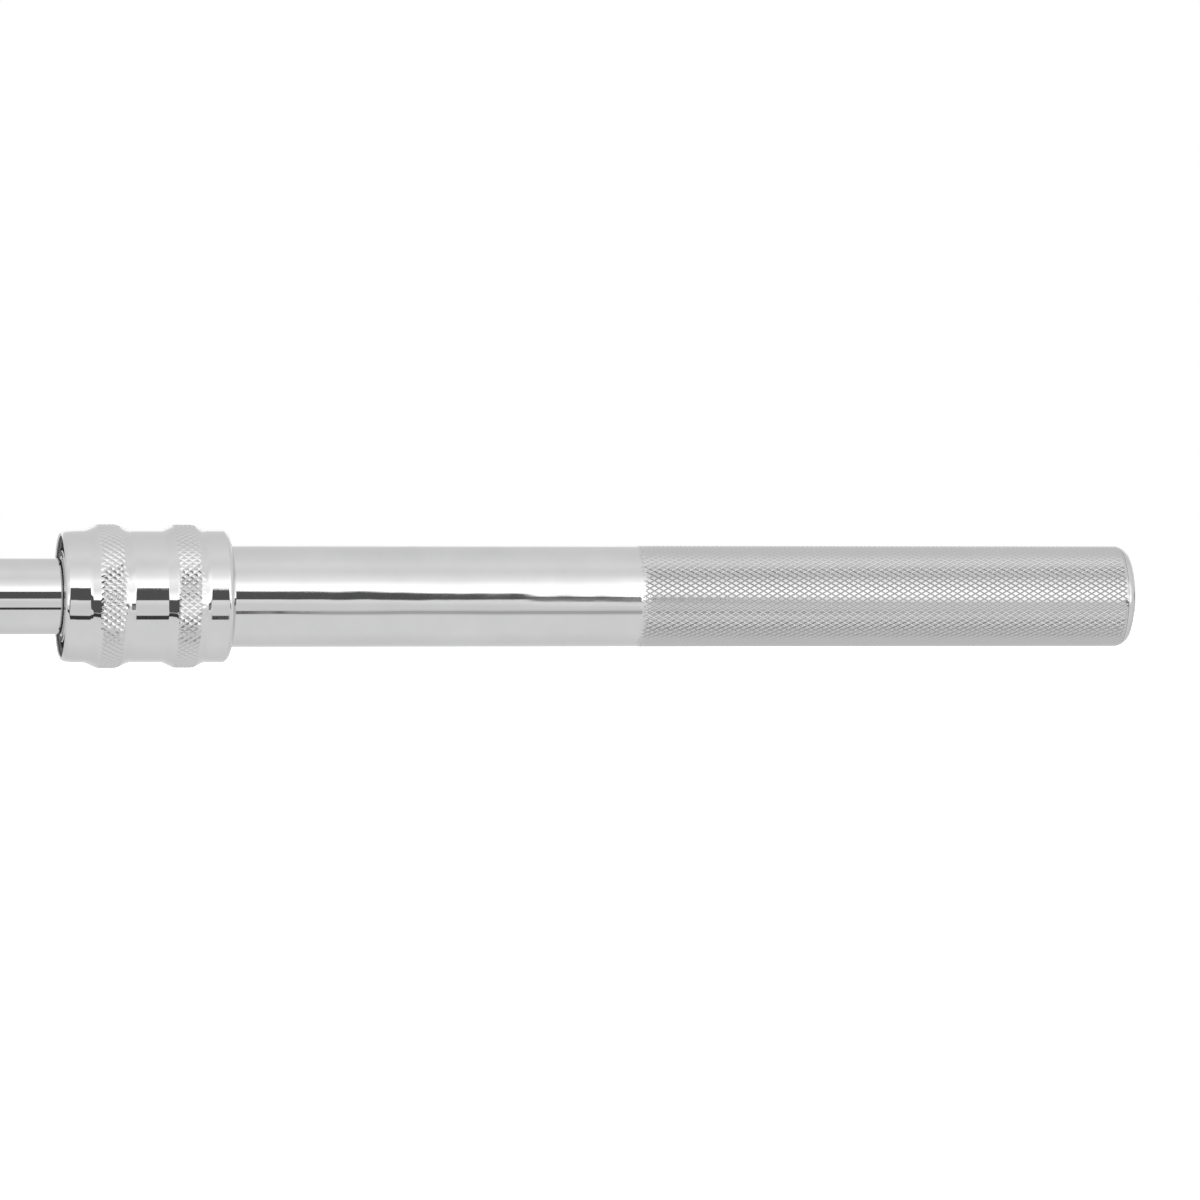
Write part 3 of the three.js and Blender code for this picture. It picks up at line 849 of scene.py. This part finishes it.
# ------------------------------------------------------------------ coil springs
def coil(name, start, end, mean, wire, turns, place, body, node, per_turn=44, sides=14):
    """A compression spring from start to end along its axis, with closed end coils. place puts (along, b, c) in the frame."""
    n = int(turns * per_turn)
    t = np.arange(n + 1) / n
    shut = 0.14
    s = np.where(t < shut, 0.35 * t, np.where(t > 1 - shut, 1 - 0.35 * (1 - t), 0.35 * shut + (t - shut) * (1 - 0.7 * shut) / (1 - 2 * shut)))
    kernel = np.hanning(15)[1:-1]
    s = np.convolve(np.pad(s, 6, mode="reflect", reflect_type="odd"), kernel / kernel.sum(), "valid")
    a = 2 * math.pi * turns * t
    path = np.stack([start + wire + (end - start - 2 * wire) * s, mean * np.cos(a), mean * np.sin(a)], 1)
    tangent = np.gradient(path, axis=0)
    tangent /= np.linalg.norm(tangent, axis=1)[:, None]
    out = np.stack([np.zeros(n + 1), np.cos(a), np.sin(a)], 1)
    side = np.cross(tangent, out)
    side /= np.linalg.norm(side, axis=1)[:, None]
    phi = 2 * math.pi * np.arange(sides) / sides
    v = path[:, None] + wire * (np.cos(phi)[None, :, None] * out[:, None] + np.sin(phi)[None, :, None] * side[:, None])
    v = np.concatenate([v.reshape(-1, 3), path[:1], path[-1:]])
    v = np.stack(place(*v.T), 1)
    i, j = np.meshgrid(np.arange(n), np.arange(sides), indexing="ij")
    k = (j + 1) % sides
    quads = np.stack([i * sides + j, (i + 1) * sides + j, (i + 1) * sides + k, i * sides + k], -1).reshape(-1, 4)
    jj, kk = np.arange(sides), (np.arange(sides) + 1) % sides
    first, last = len(v) - 2, len(v) - 1
    tris = np.concatenate([np.stack([np.full(sides, first), jj, kk], 1), np.stack([np.full(sides, last), n * sides + kk, n * sides + jj], 1)])
    vol = 0.0
    for g in (tris, quads):
        p = v[g]
        for m in range(1, g.shape[1] - 1):
            vol += float(np.einsum("ij,ij->i", p[:, 0], np.cross(p[:, m], p[:, m + 1])).sum())
    groups = [tris, quads] if vol > 0 else [np.ascontiguousarray(g[:, ::-1]) for g in (tris, quads)]
    ob = new_object(name, v, groups, [SPRING], sharp_deg=50.0)
    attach(ob, body)
    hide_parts(node)
    return ob


DX, DY, DZ = centre_of("drive_detent_ball")
DETENT_SPRING = coil("detent_coil", DY + 2.38 + 0.15, 3.45, 1.75, 0.3, 4.5, lambda a, b, c: (DX + b, a, DZ + c), "drive_head", "drive_detent_spring")
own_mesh(DETENT_SPRING)
coil("friction_coil", PIVOT + 11.0 + 0.12 + 6.15, TIP + 61.8, 2.4, 0.45, 5.5, lambda a, b, c: (a, b, c), "bar", "head_friction_spring")
coil("return_coil", MOUTH + 3.15, MOUTH + 13.85, 13.2, 0.75, 4.25, lambda a, b, c: (a, b, c), "handle", "sleeve_spring", per_turn=72)

# ------------------------------------------------------------------ rings on the bar
WIPER = revolve("wiper_lip", np.array(fillet([(4.15, 9.75), (4.15, 10.5), (5.95, 10.5), (5.95, 9.75), (5.35, 9.58), (4.75, 9.58)],
                                             [0.12, 0.18, 0.18, 0.12, 0.2, 0.2], 22.0)) + np.array([MOUTH, 0]),
                128, [RUBBER], "wiper_ring", "wiper_ring")
GUIDE = revolve("guide_bush", np.array(fillet([(236.2, 7.1), (236.2, 10.5), (236.6, 10.87), (247.8, 10.87), (248.2, 10.5), (248.2, 7.1)],
                                              [0.15, 0.1, 0.15, 0.15, 0.1, 0.15], 22.0)) + np.array([MOUTH, 0]),
                128, [BRONZE], "bar", "tail_bush")

# ------------------------------------------------------------------ carried-over CAD nodes
CARRIED = {"stop_ring": SPRING, "tail_clip": OXIDE, "bush_pin_1": HARD, "bush_pin_2": HARD}
for _name, _mat in CARRIED.items():
    _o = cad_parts[_name]
    _o.data.materials.clear()
    _o.data.materials.append(_mat)

# ------------------------------------------------------------------ floor
LOW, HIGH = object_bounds()
bm = bmesh.new()
S = 6.0
vs = [bm.verts.new((x, y, LOW0.z - 0.0003)) for x, y in ((-S, -S), (S + 0.6, -S), (S + 0.6, S), (-S, S))]
bm.faces.new(vs)
me = bpy.data.meshes.new("floor")
bm.to_mesh(me)
bm.free()
floor = bpy.data.objects.new("floor", me)
bpy.context.scene.collection.objects.link(floor)
fm = bpy.data.materials.new("floor_white")
nt, bsdf = nodes_of(fm)
bsdf.inputs["Base Color"].default_value = (0.9, 0.9, 0.9, 1)
bsdf.inputs["Roughness"].default_value = 0.9
bsdf.inputs["Specular IOR Level"].default_value = 0.1
bsdf.inputs["Emission Color"].default_value = (1, 1, 1, 1)
bsdf.inputs["Emission Strength"].default_value = 0.7
me.materials.append(fm)
floor.visible_glossy = False                    # the tent below the bar is what the chrome shows

# ------------------------------------------------------------------ light tent
# A white tent. Seen from the object, the wall on the camera's side has a bright panel over a dark slot at the
# camera's own height, and one narrow seam lower down; all of them run along the bar.
scene = bpy.context.scene
world = bpy.data.worlds.new("tent")
scene.world = world
world.use_nodes = True
wt = world.node_tree
wt.nodes.clear()
wout = wt.nodes.new("ShaderNodeOutputWorld")
bg = wt.nodes.new("ShaderNodeBackground")
wt.links.new(bg.outputs[0], wout.inputs["Surface"])
tc = wt.nodes.new("ShaderNodeTexCoord")
sep = wt.nodes.new("ShaderNodeSeparateXYZ")
wt.links.new(tc.outputs["Generated"], sep.inputs[0])
neg_y = math_node(wt, "MULTIPLY", sep.outputs["Y"], -1.0)
psi = math_node(wt, "MULTIPLY", math_node(wt, "ARCTAN2", sep.outputs["Z"], neg_y), 180 / math.pi)


def add(a, b):
    return math_node(wt, "ADD", a, b)


def mul(a, b):
    return math_node(wt, "MULTIPLY", a, b)


def curve(value, lo, hi, points):
    """A piecewise-linear function of value, from (position, level) points; levels are 0 to 2."""
    ramp = wt.nodes.new("ShaderNodeValToRGB")
    ramp.color_ramp.interpolation = "LINEAR"
    el = ramp.color_ramp.elements
    while len(el) > 1:
        el.remove(el[-1])
    for k, (x, y) in enumerate(points):
        e = el[0] if k == 0 else el.new((x - lo) / (hi - lo))
        e.position = (x - lo) / (hi - lo)
        e.color = (y / 2, y / 2, y / 2, 1)
    wt.links.new(remap(wt, value, lo, hi, 0, 1), ramp.inputs["Fac"])
    return math_node(wt, "MULTIPLY", ramp.outputs["Color"], 2.0)


def band(value, lo, hi, soft_lo, soft_hi):
    a = remap(wt, value, lo - soft_lo, lo + soft_lo, 0, 1)
    b = remap(wt, value, hi - soft_hi, hi + soft_hi, 1, 0)
    return math_node(wt, "MULTIPLY", a, b)


X = sep.outputs["X"]
# the slot sags away from the camera on both sides; it closes on the right and opens again further round
centre = mul(add(curve(X, -1, 1, [(-0.9, 0.12), (-0.66, 0.18), (-0.42, 0.68), (-0.26, 1.16), (0.095, 1.12), (0.1230, 1.13),
                                  (0.1237, 1.04), (0.130, 1.13), (0.143, 1.0), (0.150, 0.95), (0.158, 1.02), (0.1625, 1.0),
                                  (0.170, 0.80), (0.175, 0.75), (0.1785, 0.82), (0.184, 0.70), (0.192, 0.62), (0.3, 0.55),
                                  (0.45, 0.55), (0.66, 0.18), (0.9, 0.12)]), -1.0), 30.0)
half = mul(curve(X, -1, 1, [(-0.7, 1.75), (-0.45, 1.4), (-0.3, 1.1), (0.1230, 1.08), (0.1237, 0.80), (0.130, 0.95), (0.150, 0.85),
                            (0.158, 0.64), (0.170, 0.55), (0.175, 0.72), (0.1775, 0.66), (0.1815, 0.48), (0.186, 0.70), (0.3, 0.8),
                            (0.45, 0.95), (0.7, 1.0)]), 10.0)
near = mul(remap(wt, psi, 12, 32, 1, 0), remap(wt, psi, -60, -18, 0, 1))
psi_s = add(psi, mul(mul(centre, near), -1.0))
level = curve(psi_s, -180, 180, [
    (-178, 0.90), (-140, 0.85), (-114, 0.93), (-92, 1.0), (-45, 1.0), (-27, 0.95), (-20, 0.96), (-13, 1.1), (-2, 1.1),
    (2, 1.85), (21, 1.9), (28, 1.6), (36, 1.28), (43, 1.17), (51, 1.07), (58, 1.02), (75, 1.07), (92, 1.0), (117, 0.93),
    (131, 0.90), (160, 0.88), (178, 0.90)])
level = mul(level, add(mul(band(psi, -6, 44, 3, 5), remap(wt, X, 0.172, 0.182, 0, 0.16)), 1.0))
# the wall behind the object has a panel over a slot too
rear = math_node(wt, "MULTIPLY", math_node(wt, "ARCTAN2", sep.outputs["Z"], sep.outputs["Y"]), 180 / math.pi)
level = mul(level, add(mul(band(rear, 7.5, 24, 1.0, 4.0), 0.4), 1.0))
level = mul(level, add(mul(band(rear, -4.0, 5.0, 0.4, 0.4), -0.86), 1.0))
off = math_node(wt, "DIVIDE", psi_s, half)                      # -1 at the slot's lower edge, +1 at its upper edge
slot = band(off, -1.0, 1.0, 0.05, 0.05)
open_left = mul(remap(wt, X, 0.184, 0.208, 1, 0), remap(wt, X, -0.84, -0.78, 0, 1))
open_right = mul(remap(wt, X, 0.31, 0.36, 0, 1), remap(wt, X, 0.76, 0.82, 1, 0))
slot = mul(slot, add(open_left, open_right))
slot_level = add(0.125, mul(remap(wt, off, 0.45, 0.7, 1, 0), remap(wt, X, 0.155, 0.18, 0.0, 0.22)))
level = add(mul(level, math_node(wt, "SUBTRACT", 1.0, slot)), mul(slot, slot_level))
seam = band(psi, -41.2, -33.9, 0.6, 0.6)
seam_dark = mul(remap(wt, X, 0.1262, 0.1292, 0.94, 0.30), remap(wt, X, 0.19, 0.24, 1, 0))
level = mul(level, math_node(wt, "SUBTRACT", 1.0, mul(seam, seam_dark)))
soft_seam = mul(band(psi, -43.5, -31.0, 2.0, 2.0), mul(remap(wt, X, 0.1235, 0.135, 0, 0.16), remap(wt, X, 0.19, 0.24, 1, 0)))
level = mul(level, math_node(wt, "SUBTRACT", 1.0, soft_seam))
# plain white straight past the bar's two ends
ends = remap(wt, math_node(wt, "ABSOLUTE", X), 0.93, 0.985, 1, 0)
level = add(mul(add(level, -0.98), ends), 0.98)
lp = wt.nodes.new("ShaderNodeLightPath")
seen = wt.nodes.new("ShaderNodeMix")
seen.data_type = "FLOAT"
wt.links.new(lp.outputs["Is Camera Ray"], seen.inputs["Factor"])
wt.links.new(level, seen.inputs["A"])
seen.inputs["B"].default_value = 1.0
wt.links.new(seen.outputs["Result"], bg.inputs["Strength"])
bg.inputs["Color"].default_value = (1, 1, 1, 1)

# one soft box overhead, for shape in the other views
ld = bpy.data.lights.new("soft_box", "AREA")
ld.shape = "RECTANGLE"
ld.size, ld.size_y = 1.2, 0.5
ld.energy = 6.0
lo = bpy.data.objects.new("soft_box", ld)
scene.collection.objects.link(lo)
lo.location = (0.35, -0.25, 1.3)
lo.rotation_euler = (math.radians(-11), 0, 0)
lo.visible_glossy = False

# ------------------------------------------------------------------ camera
DIST = 1.7885                   # m from the bar
cam_data = bpy.data.cameras.new("camera")
cam_data.sensor_width = 36.0
cam_data.lens = 216.70
cam_data.clip_start, cam_data.clip_end = 0.01, 50.0
cam = bpy.data.objects.new("camera", cam_data)
scene.collection.objects.link(cam)
yaw = math.radians(9.9855)
tilt = math.radians(0.0295)
cam.rotation_euler = (math.pi / 2 - tilt, 0, -yaw)
cam.location = ((MOUTH - 178.37) * MM, -DIST, 0.0)
scene.camera = cam

scene.view_settings.view_transform = "Standard"
scene.view_settings.look = "None"
